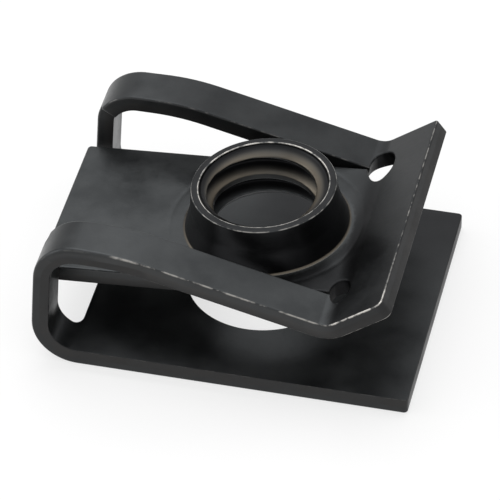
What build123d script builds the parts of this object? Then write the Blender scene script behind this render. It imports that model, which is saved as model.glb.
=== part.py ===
"""U-shaped clip nut: one folded strip of spring steel with a threaded collar."""

import os
from math import cos, radians, sin, tan

from build123d import *

os.makedirs("parts", exist_ok=True)

# Strip that the clip is folded from, in millimetres
sheet = 0.85
clip_width = 14.3

# Flat plate that lies under the panel, with a clearance hole for the screw
plate_front = 8.75
clearance_hole_d = 7.5
plate_corner_r = 0.2

# Side loops that carry the strip round the panel edge
loop_back = 10.05
loop_height = 7.3
loop_lean = 3.5
loop_corner_r = 1.8
crown_run = 3.9
crown_bend_r = 11.5
arm_width = 2.3
back_slot_front = 8.05
back_slot_width = 10.5
back_slot_corner_r = 0.6

# Mouth between the plate and the bend of the lip
mouth_gap = 3.1
mouth_x = 4.8
lip_angle = 36.6
lip_length = 3.44
lip_bend_r = 1.0
lip_corner_r = 0.4

# Tongue between the arms, slit free on three sides
tongue_length = 15.05
tongue_slope = 3.8
tongue_step = 0.15
tongue_corner_r = 0.2
slit_gap = 0.1
relief_width = 1.35
relief_length = 2.2
relief_forward = 0.1

# Collar drawn up from the tongue and tapped for a 1/4-20 screw
thread_major_d = 6.35
collar_back = 4.68
collar_height = 2.5
rim_wall = 0.45
collar_draft = 3.5
collar_foot_r = 0.42
rim_edge_r = 0.12
bore_mouth_r = 0.6

# Where the strip turns, along its middle surface
mid = sheet / 2
plate_z = mid
crown_z = loop_height - mid
bend_z = sheet + mouth_gap + mid
back_x = -loop_back + mid
crown_back_x = back_x + (crown_z - plate_z) * tan(radians(loop_lean))
plate_end = (plate_front, plate_z)
plate_turn = (back_x, plate_z)
crown_turn = (crown_back_x, crown_z)
arm_turn = (crown_back_x + crown_run, crown_z)
lip_turn = (mouth_x, bend_z)
lip_end = (
    mouth_x + lip_length * cos(radians(lip_angle)),
    bend_z + lip_length * sin(radians(lip_angle)),
)
tongue_turn = (
    mouth_x + tongue_step * cos(radians(lip_angle)),
    bend_z + tongue_step * sin(radians(lip_angle)),
)
tongue_end = (
    tongue_turn[0] - tongue_length * cos(radians(tongue_slope)),
    tongue_turn[1] - tongue_length * sin(radians(tongue_slope)),
)

# The slits run beside the tongue, half their gap either side of this line
slit_y = clip_width / 2 - arm_width - slit_gap / 2
back_slot_top = crown_z - loop_corner_r / 2
window_z = sheet + mouth_gap / 3

# The collar stands square on the top face of the sloping tongue
tongue_up = (-sin(radians(tongue_slope)), 0, cos(radians(tongue_slope)))
tongue_along = (cos(radians(tongue_slope)), 0, sin(radians(tongue_slope)))
collar_base = (
    tongue_turn[0] - collar_back * tongue_along[0] + mid * tongue_up[0],
    0,
    tongue_turn[1] - collar_back * tongue_along[2] + mid * tongue_up[2],
)
collar_plane = Plane(origin=collar_base, x_dir=tongue_along, z_dir=(0, -1, 0))
collar_axis = Axis(origin=collar_base, direction=tongue_up)
lip_axis = Axis(origin=(0, 0, 0), direction=(-sin(radians(lip_angle)), 0, cos(radians(lip_angle))))
relief_x = mouth_x + relief_forward
bore_r = thread_major_d / 2
rim_r = bore_r + rim_wall
foot_r = rim_r + collar_height * tan(radians(collar_draft))

with BuildPart() as clip:
    # Outer strip: plate, two bends, arms and lip in one sweep
    with BuildSketch(Plane.XZ) as strip:
        with BuildLine() as strip_path:
            Polyline(plate_end, plate_turn, crown_turn, arm_turn, lip_turn, lip_end)
            fillet(strip_path.vertices().sort_by_distance(plate_turn)[0], loop_corner_r)
            fillet(strip_path.vertices().sort_by_distance(crown_turn)[0], loop_corner_r)
            fillet(strip_path.vertices().sort_by_distance(arm_turn)[0], crown_bend_r)
            fillet(strip_path.vertices().sort_by_distance(lip_turn)[0], lip_bend_r)
        trace(line_width=sheet)
    extrude(amount=clip_width / 2, both=True)

    # Slot through the back bend, between the two loops
    with BuildSketch(Plane.XY) as back_slot:
        with Locations((-back_slot_front, 0)):
            Rectangle(loop_back, back_slot_width, align=(Align.MAX, Align.CENTER))
        fillet(back_slot.vertices().group_by(Axis.X)[-1], back_slot_corner_r)
    extrude(amount=back_slot_top, mode=Mode.SUBTRACT)

    # The middle of the upper layer makes way for the tongue
    with BuildSketch(Plane.XY.offset(window_z)):
        Rectangle(4 * plate_front + 4 * loop_back, 2 * slit_y)
    extrude(amount=2 * loop_height, mode=Mode.SUBTRACT)

    # Tongue, which turns up into the middle of the same lip
    with BuildSketch(Plane.XZ) as tongue:
        with BuildLine():
            FilletPolyline(tongue_end, tongue_turn, lip_end, radius=lip_bend_r)
        trace(line_width=sheet)
    extrude(amount=slit_y, both=True)

    # Slits that free the tongue from the arms, ending in relief holes at the bend
    for side in (-1, 1):
        with BuildSketch(Plane.XY.offset(window_z)):
            with Locations((relief_x, side * slit_y)):
                Rectangle(2 * tongue_length, slit_gap, align=(Align.MAX, Align.CENTER))
                Ellipse(relief_width / 2, relief_length / 2)
        extrude(amount=loop_height, mode=Mode.SUBTRACT)

    # Clearance hole in the plate
    with BuildSketch(Plane.XY):
        Circle(clearance_hole_d / 2)
    extrude(amount=sheet, mode=Mode.SUBTRACT)

    # Corners trimmed by the blanking tool
    fillet(clip.edges().filter_by(Axis.Z).group_by(Axis.X)[-1], plate_corner_r)
    fillet(clip.edges().filter_by(lip_axis).group_by(Axis.X)[-1], lip_corner_r)
    fillet(clip.edges().filter_by(collar_axis).group_by(Axis.X)[0], tongue_corner_r)

    # Collar with a drafted wall, flared into the tongue
    with BuildSketch(collar_plane) as collar:
        with BuildLine():
            Polyline(
                (bore_r / 2, -mid),
                (bore_r / 2, collar_height),
                (rim_r, collar_height),
                (foot_r, 0),
                (foot_r + collar_foot_r, 0),
                (foot_r + collar_foot_r, -mid),
                close=True,
            )
        make_face()
        fillet(collar.vertices().sort_by_distance((foot_r, 0))[0], collar_foot_r)
        fillet(collar.vertices().sort_by_distance((rim_r, collar_height))[0], rim_edge_r)
    revolve(axis=collar_axis)

    # Tapped bore, left plain at the thread's outer diameter, with a drawn-in mouth
    with BuildSketch(collar_plane):
        with Locations((0, -sheet)):
            Rectangle(bore_r, 2 * collar_height + sheet, align=Align.MIN)
    revolve(axis=collar_axis, mode=Mode.SUBTRACT)
    bore_mouth = collar_plane.from_local_coords((bore_r, -sheet))
    bore_rim = collar_plane.from_local_coords((bore_r, collar_height))
    round_edges = clip.edges().filter_by(GeomType.CIRCLE)
    fillet(round_edges.sort_by_distance(bore_mouth)[0], bore_mouth_r)
    round_edges = clip.edges().filter_by(GeomType.CIRCLE)
    fillet(round_edges.sort_by_distance(bore_rim)[0], rim_edge_r)

clip.part.label = "u_clip_nut"
export_step(clip.part, "parts/u_clip_nut.step")
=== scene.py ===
import bpy
from math import asin, atan2, cos, degrees, exp, hypot, pi, radians, sin, sqrt, tan
from mathutils import Matrix, Vector
from mathutils.geometry import delaunay_2d_cdt
from mathutils.kdtree import KDTree


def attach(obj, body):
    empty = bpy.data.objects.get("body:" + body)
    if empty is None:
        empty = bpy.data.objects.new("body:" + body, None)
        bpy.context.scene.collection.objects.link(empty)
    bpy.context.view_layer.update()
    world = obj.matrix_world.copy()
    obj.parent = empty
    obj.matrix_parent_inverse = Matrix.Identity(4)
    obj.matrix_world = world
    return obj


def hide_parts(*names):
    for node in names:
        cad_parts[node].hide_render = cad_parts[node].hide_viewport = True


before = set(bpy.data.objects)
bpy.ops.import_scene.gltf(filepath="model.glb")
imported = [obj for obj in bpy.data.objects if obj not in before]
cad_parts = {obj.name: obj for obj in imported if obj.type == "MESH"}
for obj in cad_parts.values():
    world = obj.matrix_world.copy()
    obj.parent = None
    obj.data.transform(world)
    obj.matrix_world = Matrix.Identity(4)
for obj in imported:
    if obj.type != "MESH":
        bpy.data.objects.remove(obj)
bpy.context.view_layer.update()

mm = 0.001

cameraSet = {
    "azimuth": 13.215,  # degrees round from the front, then up, then tilt
    "elevation": 40.762,
    "roll": -0.405,
    "distance": 197.264,
    "lens": 286.85,
    "sensor": 36,
    "clip": (0.01, 20),
    "target": (-0.676, 0.078, 2.591),
}


def aimCamera(values):
    turn, rise, roll = (radians(values[k]) for k in ("azimuth", "elevation", "roll"))
    back = Vector((sin(turn) * cos(rise), -cos(turn) * cos(rise), sin(rise)))
    level = Vector((cos(turn), sin(turn), 0))
    plumb = back.cross(level)
    right = level * cos(roll) + plumb * sin(roll)
    up = plumb * cos(roll) - level * sin(roll)
    data = bpy.data.cameras.new("studio_camera")
    data.lens = values["lens"]
    data.sensor_width = values["sensor"]
    data.clip_start, data.clip_end = values["clip"]
    camera = bpy.data.objects.new("studio_camera", data)
    place = (Vector(values["target"]) + back * values["distance"]) * mm
    camera.matrix_world = Matrix.Translation(place) @ Matrix((right, up, back)).transposed().to_4x4()
    bpy.context.collection.objects.link(camera)
    bpy.context.scene.camera = camera


aimCamera(cameraSet)
print("camera aimed")

# Lengths in millimetres. The clip is drawn flat, as its blank, in (s, y, n): s runs along the
# sheet's middle surface from the lip's free edge, y across it, n is the height off that surface.
stripSet = {
    "sheet": 0.85,
    "width": 14.3,
    "plateFront": 8.75,
    "loopBack": 10.05,
    "loopHeight": 7.3,
    "loopLean": 3.5,  # degrees off upright
    "crownRun": 3.9,  # level run from the loop's top to the start of the arm's slope
    "mouthX": 4.8,
    "mouthGap": 3.1,
    "lipAngle": 36.6,
    "lipLength": 3.44,
    "lipBend": 1.35,  # bend radii of the middle surface
    "armBend": 11.5,
    "loopBend": 1.8,
    "armWidth": 2.3,
    "lipCorner": (0.40, 0.15),  # front corner, rear corner
    "plateCorner": 0.2,
    "bendStep": 0.14,  # spacing of the rows of points in a bend
    "wideBend": 4,  # bends above this radius get longer steps
    "flatStep": 0.45,
    "acrossStep": 0.42,
}

tongueSet = {
    "length": 15.22,
    "slope": 4.2,
    "step": 0.35,  # how far up the lip it leaves the strip
    "bend": 2.0,
    "corner": 0.2,
    "slitGap": 0.1,
    "beyond": 0.5,  # the tongue's fold holds this far past its end
    "frontRelief": (4.99, 4.66, 0.58, 0.80),  # centre along x and off the middle, then half sizes
    "rearRelief": (5.05, 4.95, 0.74, 1.15),
    "reliefSteps": 44,
    "reliefReach": 8,  # both lie within this length of the lip's edge
    "reliefZone": ((3.4, 6.2), (-1.2, 1.1)),  # distance off the middle, and along from the seam
}

slotSet = {
    "front": 8.05,
    "width": 10.5,
    "corner": 0.6,
    "drop": 0.9,  # below the crown, where the slit steps in to the slot's width
    "dropReach": 6,  # and that step lies within this length of the heel
    "stepCorner": 0.18,
}

holeSet = {"diameter": 7.5, "segments": 120}

half = stripSet["sheet"] / 2
small = 0.02  # a length too short to show


def foldPath(corners, radii):  # straights and arcs round the corners: [length, start, heading, radius]
    legs = []
    here = Vector(corners[0])
    for i, radius in enumerate(radii):
        corner = Vector(corners[i + 1])
        inward = (corner - Vector(corners[i])).normalized()
        outward = (Vector(corners[i + 2]) - corner).normalized()
        turn = atan2(inward.x * outward.y - inward.y * outward.x, inward.dot(outward))
        reach = radius * tan(abs(turn) / 2)
        bendStart = corner - inward * reach
        legs.append([(bendStart - here).length, here, inward, 0])
        legs.append([radius * abs(turn), bendStart, inward, radius if turn > 0 else -radius])
        here = corner + outward * reach
    last = Vector(corners[-1])
    legs.append([(last - here).length, here, (last - here).normalized(), 0])
    return legs


def alongPath(legs, s):  # place and heading in the XZ plane at length s
    for i, (length, start, heading, radius) in enumerate(legs):
        if s <= length or i == len(legs) - 1:
            break
        s -= length
    if not radius:
        return start + heading * s, heading
    angle = s / radius
    side = Vector((-heading.y, heading.x))
    place = start + heading * (radius * sin(angle)) + side * (radius * (1 - cos(angle)))
    return place, heading * cos(angle) + side * sin(angle)


def lengthOf(legs):
    return sum(leg[0] for leg in legs)


def lengthAt(legs, axis, value, sMin, sMax):  # s where the path crosses a plane, by halving
    low = alongPath(legs, sMin)[0][axis] < value
    for _ in range(40):
        s = (sMin + sMax) / 2
        if (alongPath(legs, s)[0][axis] < value) == low:
            sMin = s
        else:
            sMax = s
    return s


def foldCorners(strip, tongue):
    lift = strip["sheet"] + strip["mouthGap"] + half
    lip = Vector((cos(radians(strip["lipAngle"])), sin(radians(strip["lipAngle"]))))
    mouth = Vector((strip["mouthX"], lift))
    lipEnd = mouth + lip * strip["lipLength"]
    heel = Vector((half - strip["loopBack"], half))
    rise = strip["loopHeight"] - 2 * half
    crown = heel + Vector((rise * tan(radians(strip["loopLean"])), rise))
    armTurn = crown + Vector((strip["crownRun"], 0))
    plateEnd = Vector((strip["plateFront"], half))
    root = mouth + lip * tongue["step"]
    slope = radians(tongue["slope"])
    tongueEnd = root - Vector((cos(slope), sin(slope))) * tongue["length"]
    bends = [strip["lipBend"], strip["armBend"], strip["loopBend"], strip["loopBend"]]
    return (foldPath([lipEnd, mouth, armTurn, crown, heel, plateEnd], bends),
            foldPath([lipEnd, root, tongueEnd], [tongue["bend"]]))


stripPath, tonguePath = foldCorners(stripSet, tongueSet)
stripLength, tongueLength = lengthOf(stripPath), lengthOf(tonguePath)
lipS, armS, crownS, heelS = (lengthOf(stripPath[:count]) for count in (1, 3, 4, 6))
seam = min(lipS, tonguePath[0][0]) - small  # both layers are still one lip up to here
slitY = stripSet["width"] / 2 - stripSet["armWidth"] - tongueSet["slitGap"] / 2
print("fold worked out:", round(stripLength, 2), "mm of strip,", round(tongueLength, 2), "mm of tongue")


def isTongue(s, y):
    return abs(y) < slitY and seam < s < tongueLength + tongueSet["beyond"]


def foldPoint(s, y, n):
    place, heading = alongPath(tonguePath if isTongue(s, y) else stripPath, s)
    return Vector((place.x + n * heading.y, y, place.y - n * heading.x)) * mm


def foldNormal(s, y, normal):
    heading = alongPath(tonguePath if isTongue(s, y) else stripPath, s)[1]
    along, across, up = normal
    return Vector((along * heading.x + up * heading.y, across, along * heading.y - up * heading.x))


def stationRows(legs, strip):  # values of s that carry a row of points, closer together in the bends
    rows, start = [], 0
    for length, _, _, radius in legs:
        step = strip["flatStep"]
        if radius:
            step = strip["bendStep"] * max(1, abs(radius) / strip["wideBend"])
        count = max(1, round(length / step))
        rows += [start + length * i / count for i in range(count)]
        start += length
    return rows


stripRows, tongueRows = (stationRows(legs, stripSet) for legs in (stripPath, tonguePath))


def runAlong(rows, start, end, y, clear=0.05):
    steps = [s for s in rows if min(start, end) + clear < s < max(start, end) - clear]
    if end < start:
        steps.reverse()
    return [(start, y)] + [(s, y) for s in steps] + [(end, y)]


def runAcross(s, start, end, step):
    count = max(1, round(abs(end - start) / step))
    return [(s, start + (end - start) * i / count) for i in range(count + 1)]


def cornerArc(s, y, radius, start, end, count=6):
    angles = [radians(start + (end - start) * i / count) for i in range(count + 1)]
    return [(s + radius * cos(a), y + radius * sin(a)) for a in angles]


# From the middle of the lip's edge, round one side, to the middle of the plate's front edge
def outerHalf(strip, lipCorner):
    w, r, step = strip["width"] / 2, strip["plateCorner"], strip["acrossStep"]
    line = runAcross(0, 0, lipCorner - w, step)
    line += cornerArc(lipCorner, lipCorner - w, lipCorner, 180, 270)
    line += runAlong(stripRows, lipCorner, stripLength - r, -w)
    line += cornerArc(stripLength - r, r - w, r, 270, 360)
    line += runAcross(stripLength, r - w, 0, step)
    return line


def reliefRim(tongue, relief, inner, outer):  # round a relief hole, from the tongue's side to the arm's
    reliefX, reliefY, halfLong, halfWide = relief
    start = 180 + degrees(asin((reliefY - inner) / halfWide))
    end = 540 - degrees(asin((outer - reliefY) / halfWide))
    rim = []
    for i in range(tongue["reliefSteps"] + 1):
        angle = radians(start + (end - start) * i / tongue["reliefSteps"])
        x, y = reliefX + halfLong * cos(angle), reliefY + halfWide * sin(angle)
        path = tonguePath if y < slitY else stripPath
        rim.append((lengthAt(path, 0, x, 0, tongue["reliefReach"]), y))
    return rim


# From the middle of the tongue's end, along the slit and round its relief hole, to the slot's end
def slotHalf(strip, tongue, slot, relief):
    gap, step, r = tongue["slitGap"] / 2, strip["acrossStep"], tongue["corner"]
    inner, outer = slitY - gap, slitY + gap
    line = runAcross(tongueLength, 0, inner - r, step)
    line += cornerArc(tongueLength - r, inner - r, r, 0, 90)
    rim = reliefRim(tongue, relief, inner, outer)
    line += runAlong(tongueRows, tongueLength - r, rim[0][0], inner)[:-1]
    line += rim
    stepZ = strip["loopHeight"] - half - slot["drop"]
    stepS = lengthAt(stripPath, 1, stepZ, heelS - slot["dropReach"], heelS)
    wide, r = slot["width"] / 2, slot["stepCorner"]
    line += runAlong(stripRows, rim[-1][0], stepS - r, outer)[1:]
    line += cornerArc(stepS - r, outer + r, r, 270, 360, 4)
    line += [(stepS, wide - r)]
    line += cornerArc(stepS + r, wide - r, r, 180, 90, 4)
    endS, corner = stripLength - strip["plateFront"] - slot["front"], slot["corner"]
    line += runAlong(stripRows, stepS + r, endS - corner, wide)
    line += cornerArc(endS - corner, wide - corner, corner, 90, 0, 8)
    line += runAcross(endS, wide - corner, 0, step)
    return line


def closeLoop(first, second, nearest=0.004):  # one half, then the other mirrored and walked back
    line = first + [(s, -y) for s, y in reversed(second)]
    kept = []
    for point in line:
        if not kept or hypot(point[0] - kept[-1][0], point[1] - kept[-1][1]) > nearest:
            kept.append(point)
    if hypot(kept[0][0] - kept[-1][0], kept[0][1] - kept[-1][1]) < nearest:
        kept.pop()
    return kept


def circleLoop(s, y, radius, segments):  # clockwise, so that the metal is on the left
    angles = [2 * pi * i / segments for i in range(segments)]
    return [(s + radius * cos(a), y - radius * sin(a)) for a in angles]


outerLoop = closeLoop(*(outerHalf(stripSet, corner) for corner in stripSet["lipCorner"]))
slotLoop = closeLoop(*(slotHalf(stripSet, tongueSet, slotSet, tongueSet[relief])
                       for relief in ("rearRelief", "frontRelief")))
holeLoop = circleLoop(stripLength - stripSet["plateFront"], 0, holeSet["diameter"] / 2, holeSet["segments"])
print("blank drawn:", len(outerLoop), "points outside,", len(slotLoop), "round the tongue")

edgeSet = {
    "roll": 0.11,  # radius of the rolled side of a blanked edge
    "loopRoll": 0.26,  # and where the loops are bent over the die
    "loopPast": 1.0,  # middle of that stretch, past the crown, and its length
    "loopSpan": 2.2,
    "outerBand": 0.1,
    "burr": 0.05,  # radius of the far side
    "shear": 0.4,  # bright sheared share of the edge's height, then its tone beside the torn share's
    "shearBlend": 0.05,
    "shearTone": 0.5,
    "rollWear": (0.0, 0.25, 0.95, 0.8, 0.25, 0.05),  # from the face round to the wall
    "burrWear": (0.05, 0.55, 0.55, 0.05),
}

rubSet = {  # how bare an edge has been rubbed, by where it is
    "frontArm": 1.0,
    "lipEnd": 0.6,
    "lipFront": 1.7,
    "lipFrontY": -6,
    "loop": 0.3,
    "plate": 0.5,
    "slit": 0.4,
    "band": 0.3,  # a mark reaches this far past its edge, and a slit's mark starts this far in
    "slitBand": 0.5,
    "armPast": 1.6,
    "heelPast": 2,
}

shadeSet = {  # painted shade: how far each region's coat is darkened to stand for shade, and over which lengths that fades
    "under": 0.45,
    "rearArm": 0.50,
    "frontArm": 0.12,
    "lip": 0.55,
    "loop": 0.22,
    "lipFade": (1.2, -0.3),
    "crownFade": (-1.5, 0.5),
    "valley": 0.95,  # in the bend between the tongue and the lip
    "valleyAt": 0.55,
    "valleyLong": 1.05,
    "valleyWide": 5.2,
    "tongueFront": 0.85,
    "frontFade": (-1.5, -3.6),
    "collarFade": (1, -2),
    "plate": 0.38,
    "plateRear": 0.85,
    "rearFade": (1, 5.5),
    "farFade": (10, 14),
}

collarSet = {
    "back": 4.84,  # from the tongue's bend to the axis
    "height": 2.38,
    "majorR": 3.175,
    "minorR": 2.56,
    "pitch": 1.27,
    "crestHalf": 0.13,
    "flankRun": 0.40,
    "straight": 0.55,  # straight share of the flanks; the rest is eased
    "rimR": 3.58,
    "waistR": 3.72,
    "waistHeight": 1.1,
    "waistBend": 2.0,
    "footR": 4.08,
    "foot": 0.15,
    "footRun": 1.1,  # flat share of the foot's radius kept beyond it
    "rimEdge": 0.10,
    "boreEdge": 0.045,
    "mouth": 1.2,  # radius of the draw under the tongue
    "chamferR": 3.2,
    "leadStart": 0.03,
    "lead": 1.8,
    "segments": 160,
    "turnAt": 0.33,  # first crest below the rim, at the rear
    "tilt": 0.018,
    "boreRows": 84,
    "ringR": 4.86,  # faint ring that the draw die left round it
    "ringDepth": 0.012,
    "ringWidth": 0.13,
}

collarLook = {  # what is rubbed on the collar's rim, the painted glint round its bore, the painted shade on its outer wall and thread roots, the darkened rim top, and the painted warm highlight
    "edgeBand": 0.12,
    "boreGlint": 1.25,
    "rimRub": 0.8,
    "rimRubFrom": (0.35, 0.75),
    "rimRubTo": (1.0, 0.85),
    "wallDark": 0.95,
    "wallBand": 0.1,
    "rimDark": 0.8,
    "rimDullBelow": 0.3,
    "rimDullInset": 0.03,
    "flankFade": (0.50, 0.05),  # painted highlight on the upper flanks: it fades off the crest, by the normal's rise, then at the first and last turn
    "riseFade": (-0.2, 0.8),
    "firstFade": (0.08, 0.30),
    "lastFade": (2.3, 1.9),
    "sideways": 0.55,  # painted highlight, brighter towards the two sides
    "rootDark": 0.95,
    "rootFade": (0.10, 0.45),
    "leadFade": (0.34, 0.12),
}

bendReach = abs(tonguePath[1][3]) * tan(tonguePath[1][0] / abs(tonguePath[1][3]) / 2)
collarS = tonguePath[0][0] + tonguePath[1][0] + collarSet["back"] - bendReach
clip = {"points": [], "normals": [], "wearAndGlint": [], "cut": [], "dark": [], "tap": [], "faces": []}


def fade(band, value):  # 0 at the band's first end, 1 at its second, and smooth between
    k = min(1, max(0, (value - band[0]) / (band[1] - band[0])))
    return k * k * (3 - 2 * k)


def threadRadius(angle, depth, values):  # depth down from the rim, angle from +s towards +y
    pitch = values["pitch"]
    crest = values["turnAt"] + pitch * (angle - 90) / 360
    away = abs((depth - crest + pitch / 2) % pitch - pitch / 2)
    rise = min(1, max(0, (away - values["crestHalf"]) / values["flankRun"]))
    blend = values["straight"] * rise + (1 - values["straight"]) * fade((0, 1), rise)
    radius = values["minorR"] + (values["majorR"] - values["minorR"]) * blend
    lead = values["chamferR"] - (depth - values["leadStart"]) * values["lead"]
    low = values["height"] + stripSet["sheet"] - depth
    tail, mouth = values["minorR"], values["mouth"]
    if low < mouth:
        tail += mouth - sqrt(max(0, mouth ** 2 - (mouth - low) ** 2))
    return max(radius, lead, tail)


def edgeRoll(s, y):  # the loops' outer edges are rounded more, where they are bent over the die
    if abs(y) < stripSet["width"] / 2 - edgeSet["outerBand"]:
        return edgeSet["roll"]
    gain = exp(-((s - crownS - edgeSet["loopPast"]) / edgeSet["loopSpan"]) ** 2)
    return edgeSet["roll"] + (edgeSet["loopRoll"] - edgeSet["roll"]) * gain


def ringDimple(s, y):
    away = hypot(s - collarS, y) - collarSet["ringR"]
    return -collarSet["ringDepth"] * exp(-(away / collarSet["ringWidth"]) ** 2)


def reliefWall(s, y):
    (yLow, yHigh), (sLow, sHigh) = tongueSet["reliefZone"]
    return yLow < abs(y) < yHigh and sLow < s - seam < sHigh


def rubbedEdge(s, y):
    if abs(y) < stripSet["width"] / 2 - rubSet["slitBand"] and s > rubSet["band"]:
        return 0 if reliefWall(s, y) else rubSet["slit"]
    if s < rubSet["band"]:
        return rubSet["lipFront"] if y < rubSet["lipFrontY"] else rubSet["lipEnd"]
    if s < lipS + rubSet["band"]:
        return rubSet["lipFront"] if y < 0 else rubSet["lipEnd"]
    if s < armS + rubSet["armPast"]:
        return rubSet["frontArm"] if y < 0 else rubSet["slit"]
    return rubSet["loop"] if s < heelS + rubSet["heelPast"] else rubSet["plate"]


# Painted shade: darkens the under face, the arms and lip, the bend between tongue and lip, the tongue beside
# the collar's front and the plate's rear corner
def paintedShadeAt(s, y, n):
    if n < 0 and s <= heelS + rubSet["heelPast"]:
        return shadeSet["under"]
    if isTongue(s, y):
        along = (s - tonguePath[0][0] - tonguePath[1][0] * shadeSet["valleyAt"]) / shadeSet["valleyLong"]
        valley = shadeSet["valley"] * exp(-along ** 2) * exp(-(y / shadeSet["valleyWide"]) ** 4)
        near = shadeSet["tongueFront"] * fade(shadeSet["frontFade"], y) * fade(shadeSet["collarFade"], s - collarS)
        return max(valley, near, shadeSet["lip"] * fade((1, 0), s - lipS))
    arm = shadeSet["rearArm"] if y > 0 else shadeSet["frontArm"]
    if s < lipS + shadeSet["lipFade"][0]:
        return arm + (shadeSet["lip"] - arm) * fade(shadeSet["lipFade"], s - lipS)
    if s < heelS:
        return arm + (shadeSet["loop"] - arm) * fade(shadeSet["crownFade"], s - crownS)
    corner = fade(shadeSet["rearFade"], y) * fade(shadeSet["farFade"], s - heelS)
    return shadeSet["plate"] + (shadeSet["plateRear"] - shadeSet["plate"]) * corner


def addPoint(s, y, n, normal, wearAndGlint=0.0, cut=0.0, dark=None, tap=0.0):
    clip["points"].append((s, y, n))
    clip["normals"].append(normal)
    clip["wearAndGlint"].append(wearAndGlint)
    clip["cut"].append(cut)
    clip["dark"].append(paintedShadeAt(s, y, n) if dark is None else dark)
    clip["tap"].append(tap)
    return len(clip["points"]) - 1


def stitchRings(rings):
    for upper, lower in zip(rings, rings[1:]):
        count = len(upper)
        for i in range(count):
            k = (i + 1) % count
            clip["faces"].append((upper[i], lower[i], lower[k], upper[k]))


def inwardNormals(loop, sharpest=0.6):  # mitred at the corners, and no longer than a sharp corner allows
    found = []
    for i, (s, y) in enumerate(loop):
        before, after = loop[i - 1], loop[(i + 1) % len(loop)]
        back = Vector((s - before[0], y - before[1])).normalized()
        ahead = Vector((after[0] - s, after[1] - y)).normalized()
        first, second = Vector((-back.y, back.x)), Vector((-ahead.y, ahead.x))
        found.append((first + second) / max(sharpest, 1 + first.dot(second)))
    return found


def edgeSteps(values):  # the rings of an edge, from its top face down: part, place on it, wear
    rolls, burrs = values["rollWear"], values["burrWear"]
    steps = [("roll", pi / 2 * i / (len(rolls) - 1), wearAndGlint) for i, wearAndGlint in enumerate(rolls)]
    steps += [("wall", values["shear"] + shift, 0) for shift in (-values["shearBlend"], values["shearBlend"])]
    steps += [("burr", pi / 2 * (1 - i / (len(burrs) - 1)), wearAndGlint) for i, wearAndGlint in enumerate(burrs)]
    return steps


def edgeStep(part, value, roll, values):  # inset, height, the normal's share outwards and up, tone
    burr = values["burr"]
    if part == "roll":
        cut = values["shearTone"] * 2 * max(0, sin(value) - 0.5)
        return roll * (1 - sin(value)), half - roll * (1 - cos(value)), sin(value), cos(value), cut
    if part == "wall":
        cut = values["shearTone"] if value < values["shear"] else 1
        return 0, half - roll - (2 * half - roll - burr) * value, 1, 0, cut
    return burr * (1 - sin(value)), burr * (1 - cos(value)) - half, sin(value), -cos(value), sin(value)


def blankedEdge(loop):  # rolled side, sheared wall and burr side; gives back the top and bottom rings
    inward = inwardNormals(loop)
    rings = []
    for part, value, wearAndGlint in edgeSteps(edgeSet):
        ring = []
        for (s, y), side in zip(loop, inward):
            roll = edgeRoll(s, y)
            inset, n, outward, up, cut = edgeStep(part, value, roll, edgeSet)
            out = -side.normalized()
            normal = (out.x * outward, out.y * outward, up)
            # The relief holes' walls are painted fully dark, as painted shade in the recess
            dark = 1.0 if reliefWall(s, y) and n < half - roll / 2 else None
            rub = wearAndGlint * rubbedEdge(s, y)
            ring.append(addPoint(s + side.x * inset, y + side.y * inset, n, normal, rub, cut, dark))
        rings.append(ring)
    stitchRings(rings)
    return rings[0], rings[-1]


# Points and outward normals along a line with its corners rounded
def roundedLine(corners, radii, bendCount=6, flatStep=0.3):
    legs = foldPath(corners, radii)
    line, start = [], 0
    for length, _, _, radius in legs:
        count = bendCount if radius else max(1, round(length / flatStep))
        for i in range(count):
            place, heading = alongPath(legs, start + length * i / count)
            line.append((place.x, place.y, heading.y, -heading.x, bool(radius)))
        start += length
    return line


def collarProfile(values, look):  # from the tongue's top face up the flared wall and over the rim
    top = half + values["height"]
    edge = values["boreEdge"]
    corners = [(values["footR"] + values["foot"] * values["footRun"], half), (values["footR"], half),
               (values["waistR"], half + values["waistHeight"]), (values["rimR"], top),
               (values["chamferR"], top), (values["chamferR"], top - 2 * edge)]
    line = roundedLine(corners, [values["foot"], values["waistBend"], values["rimEdge"], edge])
    profile = []
    boreSide = values["chamferR"] + 2 * edge
    before = 0
    for rho, n, out, up, bent in line:
        wearAndGlint, tap = 0, 0
        if rho < boreSide < before:  # the rim's dull flat
            profile += [(before - small, top, 0, 1, 0, 0), (rho + look["rimDullInset"], top, 0, 1, 0, 0)]
        before = rho
        if bent and n > top - look["edgeBand"]:
            # A painted glint: bare bright steel round the bore's top edge
            wearAndGlint = look["boreGlint"]
            if rho >= boreSide:
                wearAndGlint = look["rimRub"] * fade(look["rimRubFrom"], out) * fade(look["rimRubTo"], out)
        elif bent and n < half + values["foot"]:
            # Painted warm highlight along the foot's fillet
            tap = sin(pi * min(1, out * out))
        profile.append((rho, n, out, up, wearAndGlint, tap))
    return profile


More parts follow.
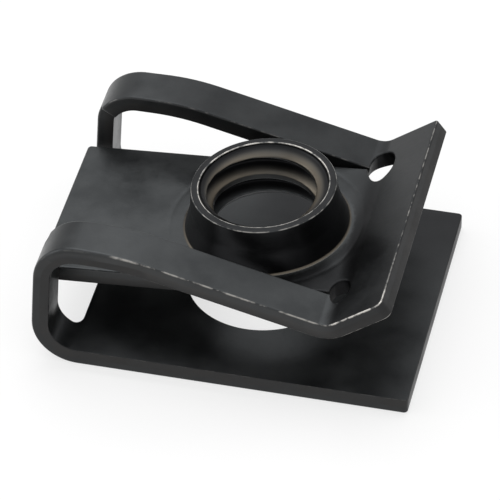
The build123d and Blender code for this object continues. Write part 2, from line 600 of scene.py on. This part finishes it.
def drawnCollar(values, look):
    angles = [-2 * pi * i / values["segments"] for i in range(values["segments"])]
    top = half + values["height"]
    rings = []

    def tilted(rho, a, n):  # the rim was trimmed a little out of square
        return n + values["tilt"] * rho * sin(a) * max(0, (n - half) / values["height"]) ** 2

    def slopeOf(degree, depth, turn, drop):  # how fast the bore widens, round it or down it
        wider = threadRadius(degree + turn, depth + drop, values)
        return (wider - threadRadius(degree - turn, depth - drop, values)) / 2

    for rho, n, out, up, wearAndGlint, tap in collarProfile(values, look):
        # Painted shade on the collar's outer wall; the rim's top is darkened too
        dark = look["wallDark"] if half + look["wallBand"] < n < top - look["wallBand"] else 0.0
        if n > top - look["edgeBand"] and wearAndGlint < look["rimDullBelow"]:
            dark = look["rimDark"]
        rings.append([addPoint(collarS + rho * cos(a), rho * sin(a), tilted(rho, a, n),
                               (out * cos(a), out * sin(a), up), wearAndGlint, 0, dark, tap) for a in angles])
    start = 2 * values["boreEdge"]
    total = values["height"] + stripSet["sheet"]
    for row in range(1, values["boreRows"] + 1):
        depth = start + (total - start) * row / values["boreRows"]
        ring = []
        for a in angles:
            degree = degrees(a)
            r = threadRadius(degree, depth, values)
            across = slopeOf(degree, depth, 1, 0) / radians(1) / r
            up = -slopeOf(degree, depth, 0, small) / small
            normal = (-cos(a) - across * sin(a), across * cos(a) - sin(a), up)
            off = r - values["minorR"]
            # Painted warm highlight on the thread's upper flanks, stronger where a flank faces up and towards
            # the two sides
            flank = fade(look["flankFade"], off) * fade(look["riseFade"], up)
            flank *= 1 - look["sideways"] * (1 - abs(cos(a)))
            flank *= fade(look["firstFade"], depth) * fade(look["lastFade"], depth)
            # Painted shade in the thread's roots and down the lead-in, kept off the highlighted flanks
            root = max(fade(look["rootFade"], off), fade(look["leadFade"], depth))
            ring.append(addPoint(collarS + r * cos(a), r * sin(a), tilted(r, a, top - depth), normal,
                                 0, 0, look["rootDark"] * root * (1 - flank), flank))
        rings.append(ring)
    stitchRings(rings)
    return rings[0], rings[-1]


gridSet = {  # points inside a face of the sheet, with finer rings round the collar
    "clear": 0.1,
    "ringClear": 0.07,
    "ringPoints": 96,
    "firstRing": 0.08,
    "reach": {1: 5.35, -1: 4.3},  # of the rings, on the top face and on the under face
    "ringStep": {1: 0.09, -1: 0.3},
    "probe": 0.01,
}


def sheetFace(side, rings, values):  # one face of the sheet, between the edges' rings
    flat, index, loops = [], [], []
    for ring in rings:
        loops.append(list(range(len(flat), len(flat) + len(ring))))
        for k in ring:
            flat.append(Vector(clip["points"][k][:2]))
            index.append(k)
    near = KDTree(len(flat))
    for i, p in enumerate(flat):
        near.insert((p.x, p.y, 0), i)
    near.balance()

    def dimple(s, y):
        return ringDimple(s, y) if side > 0 and isTongue(s, y) else 0

    def place(s, y, clear):
        if near.find((s, y, 0))[2] < clear:
            return
        n, probe = dimple(s, y), values["probe"]
        normal = ((n - dimple(s + probe, y)) / probe, (n - dimple(s, y + probe)) / probe, side)
        flat.append(Vector((s, y)))
        index.append(addPoint(s, y, side * half + n, normal))

    reach = values["reach"][side]
    across = max(1, round(stripSet["width"] / stripSet["acrossStep"]))
    for rows, tongueSide in ((stripRows, False), (tongueRows, True)):
        for s in rows:
            for j in range(1, across):
                y = stripSet["width"] * (j / across - 0.5)
                inRings = tongueSide and hypot(s - collarS, y) < reach
                if isTongue(s, y) == tongueSide and not inRings:
                    place(s, y, values["clear"])
    rho = abs(clip["points"][rings[-1][0]][0] - collarS) + values["firstRing"]
    while rho < reach:
        for i in range(values["ringPoints"]):
            a = 2 * pi * i / values["ringPoints"]
            s, y = collarS + rho * cos(a), rho * sin(a)
            if isTongue(s, y) and s > seam + values["clear"]:
                place(s, y, values["ringClear"])
        rho += values["ringStep"][side]
    borders = [loops[0]] + [loop[::-1] for loop in loops[1:]]
    _, _, tris, sources, _, owners = delaunay_2d_cdt(flat, [], borders, 0, 1e-6)
    for tri, inside in zip(tris, owners):
        if list(inside) == [0]:  # in the outline and in none of its openings
            corners = [index[sources[v][0]] for v in tri]
            clip["faces"].append(tuple(corners[::side]))


def foldedClip():
    edges = [blankedEdge(loop) for loop in (outerLoop, slotLoop, holeLoop)]
    edges.append(drawnCollar(collarSet, collarLook))
    sheetFace(1, [top for top, _ in edges], gridSet)
    sheetFace(-1, [bottom for _, bottom in edges], gridSet)
    mesh = bpy.data.meshes.new("folded_clip")
    mesh.from_pydata([foldPoint(*p) for p in clip["points"]], [], [f[::-1] for f in clip["faces"]])
    mesh.polygons.foreach_set("use_smooth", [True] * len(mesh.polygons))
    normals = [foldNormal(p[0], p[1], n).normalized() for p, n in zip(clip["points"], clip["normals"])]
    mesh.normals_split_custom_set_from_vertices(normals)
    for name in ("wearAndGlint", "cut", "dark", "tap"):
        layer = mesh.attributes.new(name + "Amount", "FLOAT", "POINT")
        layer.data.foreach_set("value", clip[name])
    mesh.validate()
    piece = bpy.data.objects.new("folded_clip", mesh)
    bpy.context.collection.objects.link(piece)
    return piece


clipPiece = foldedClip()
print("clip folded:", len(clipPiece.data.vertices), "points,", len(clipPiece.data.polygons), "faces")

studioSet = {
    "floorSize": 3.0,
    "floorDrop": 0.02,
    "floorColour": 0.93,
    "floorGlow": 0.68,  # share of plain white in it where it is looked at; the rest keeps the shadow
    "worldLevel": 0.85,
    "lamps": {  # place in metres, size, watts
        "overhead": ((-0.10, 0.25, 0.60), 0.50, 1.6),
        "leftSide": ((-0.60, -0.05, 0.30), 0.40, 0.8),
    },
}


# Plain white, or a share of it, where the camera, gloss or glass looks at a surface or the world
def whiteInSight(tree, shader, into, whiteKind, share):
    nodes, links = tree.nodes, tree.links
    rays = nodes.new("ShaderNodeLightPath")

    def maths(kind, first, second):
        node = nodes.new("ShaderNodeMath")
        node.operation = kind
        links.new(first, node.inputs[0])
        if isinstance(second, (int, float)):
            node.inputs[1].default_value = second
        else:
            links.new(second, node.inputs[1])
        return node.outputs[0]

    looked = maths("MAXIMUM", rays.outputs["Is Camera Ray"], rays.outputs["Is Glossy Ray"])
    looked = maths("MAXIMUM", looked, rays.outputs["Is Transmission Ray"])
    white = nodes.new(whiteKind)
    white.inputs["Strength"].default_value = 1
    mix = nodes.new("ShaderNodeMixShader")
    links.new(maths("MULTIPLY", looked, share), mix.inputs["Fac"])
    links.new(shader.outputs[0], mix.inputs[1])
    links.new(white.outputs[0], mix.inputs[2])
    links.new(mix.outputs[0], into)


def layFloor(values):
    far, low = values["floorSize"] / 2, -values["floorDrop"] * mm
    mesh = bpy.data.meshes.new("studio_floor")
    mesh.from_pydata([(x * far, y * far, low) for x, y in ((-1, -1), (1, -1), (1, 1), (-1, 1))], [],
                     [(0, 1, 2, 3)])
    floor = bpy.data.objects.new("studio_floor", mesh)
    bpy.context.collection.objects.link(floor)
    paint = bpy.data.materials.new("studio_floor_white")
    paint.use_nodes = True
    nodes = paint.node_tree.nodes
    shader = nodes["Principled BSDF"]
    level = values["floorColour"]
    shader.inputs["Base Color"].default_value = (level, level, level, 1)
    shader.inputs["Roughness"].default_value = 1
    shader.inputs["Specular IOR Level"].default_value = 0
    surface = nodes["Material Output"].inputs["Surface"]
    whiteInSight(paint.node_tree, shader, surface, "ShaderNodeEmission", values["floorGlow"])
    mesh.materials.append(paint)


def lightStudio(values):
    world = bpy.data.worlds.new("studio_world")
    world.use_nodes = True
    tree = world.node_tree
    shader = tree.nodes["Background"]
    shader.inputs["Color"].default_value = (1, 1, 1, 1)
    shader.inputs["Strength"].default_value = values["worldLevel"]
    whiteInSight(tree, shader, tree.nodes["World Output"].inputs["Surface"], "ShaderNodeBackground", 1)
    bpy.context.scene.world = world
    for name, (place, size, power) in values["lamps"].items():
        data = bpy.data.lights.new(name, "AREA")
        data.shape = "SQUARE"
        data.size = size
        data.energy = power
        lamp = bpy.data.objects.new(name, data)
        lamp.location = place
        lamp.rotation_euler = (-Vector(place)).to_track_quat("-Z", "Y").to_euler()
        bpy.context.collection.objects.link(lamp)


layFloor(studioSet)
lightStudio(studioSet)
print("studio lit")

steelSet = {
    "coat": (0.045, 0.048, 0.050),  # dark phosphate coat, then its paler patches, then the near-black tone of its specks and of the painted shade
    "paler": (0.068, 0.072, 0.074),
    "stainAndShade": (0.010, 0.010, 0.011),
    "sheared": (0.060, 0.058, 0.056),
    "tapped": (0.15, 0.127, 0.096),  # painted warm highlight on the thread's upper flanks and along the collar's foot
    "bareAndGlintTone": (0.52, 0.50, 0.47),
    "shadeShare": 0.92,
    "tappedShare": 0.85,
    "speckleShare": 0.05,
    "bareAndGlintBand": (0.22, 1.15),  # amount of wear and painted glint that starts to show bright bare steel, and that shows it fully
    "metallic": 0.9,
    "smooth": 0.31,
    "rough": 0.46,
    "cutRough": 0.12,  # added on sheared edges
    "mottle": 420,  # noise scales, per metre
    "patch": 1008,
    "rub": 1890,
    "speckle": 5880,
    "grain": 5200,
    "bump": 0.08,
    "bumpDepth": 0.00004,
}


def darkSpringSteel(values):
    paint = bpy.data.materials.new("dark_spring_steel")
    paint.use_nodes = True
    nodes, links = paint.node_tree.nodes, paint.node_tree.links
    shader = nodes["Principled BSDF"]
    shader.inputs["Metallic"].default_value = values["metallic"]
    where = nodes.new("ShaderNodeTexCoord").outputs["Object"]

    def noise(name, detail, rough=0.55):
        node = nodes.new("ShaderNodeTexNoise")
        node.inputs["Scale"].default_value = values[name]
        node.inputs["Detail"].default_value = detail
        node.inputs["Roughness"].default_value = rough
        links.new(where, node.inputs["Vector"])
        return node.outputs["Fac"]

    def remap(source, low, high, toLow=0.0, toHigh=1.0):
        node = nodes.new("ShaderNodeMapRange")
        names = ("From Min", "From Max", "To Min", "To Max")
        for name, value in zip(names, (low, high, toLow, toHigh)):
            node.inputs[name].default_value = value
        links.new(source, node.inputs["Value"])
        return node.outputs["Result"]

    def maths(kind, first, second):
        node = nodes.new("ShaderNodeMath")
        node.operation = kind
        for socket, value in zip(node.inputs, (first, second)):
            if isinstance(value, (int, float)):
                socket.default_value = value
            else:
                links.new(value, socket)
        return node.outputs[0]

    def mixTone(factor, under, over):
        node = nodes.new("ShaderNodeMix")
        node.data_type = "RGBA"
        links.new(factor, node.inputs["Factor"])
        for name, value in (("A", under), ("B", over)):
            if isinstance(value, tuple):
                node.inputs[name].default_value = (*value, 1)
            else:
                links.new(value, node.inputs[name])
        return node.outputs["Result"]

    def amount(name):
        node = nodes.new("ShaderNodeAttribute")
        node.attribute_name = name + "Amount"
        return node.outputs["Fac"]

    mottle = remap(noise("mottle", 5), 0.36, 0.66)
    speckle = remap(noise("speckle", 2, 0.6), 0.50, 0.75)
    grain = noise("grain", 3, 0.7)
    patchy = remap(noise("patch", 4), 0.34, 0.62, 0.5, 0.9)
    broken = remap(noise("rub", 3, 0.6), 0.38, 0.58, 0.2, 1.0)
    # Bare steel on rubbed edges, and the painted glint round the bore's top edge
    bareAndGlint = remap(maths("MULTIPLY", amount("wearAndGlint"), broken), *values["bareAndGlintBand"])
    tone = mixTone(mottle, values["coat"], values["paler"])
    tone = mixTone(maths("MULTIPLY", speckle, values["speckleShare"]), tone, values["stainAndShade"])
    tone = mixTone(maths("MULTIPLY", amount("cut"), patchy), tone, values["sheared"])
    # The dark amount darkens the coat towards near black; it carries the painted shade
    tone = mixTone(maths("MULTIPLY", amount("dark"), values["shadeShare"]), tone, values["stainAndShade"])
    # Painted warm highlight on the thread's flanks and the collar's foot
    tone = mixTone(maths("MULTIPLY", amount("tap"), values["tappedShare"]), tone, values["tapped"])
    tone = mixTone(bareAndGlint, tone, values["bareAndGlintTone"])
    links.new(tone, shader.inputs["Base Color"])
    coarse = maths("ADD", maths("MULTIPLY", mottle, 0.5), maths("MULTIPLY", grain, 0.5))
    sheen = remap(coarse, 0.25, 0.75, values["smooth"], values["rough"])
    sheen = maths("ADD", sheen, maths("MULTIPLY", amount("cut"), values["cutRough"]))
    links.new(sheen, shader.inputs["Roughness"])
    bump = nodes.new("ShaderNodeBump")
    bump.inputs["Strength"].default_value = values["bump"]
    bump.inputs["Distance"].default_value = values["bumpDepth"]
    links.new(maths("ADD", grain, maths("MULTIPLY", mottle, 0.6)), bump.inputs["Height"])
    links.new(bump.outputs["Normal"], shader.inputs["Normal"])
    return paint


clipPiece.data.materials.append(darkSpringSteel(steelSet))
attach(clipPiece, "root")
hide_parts("u_clip_nut")
print("steel coated")

bpy.context.scene.view_settings.view_transform = "Standard"
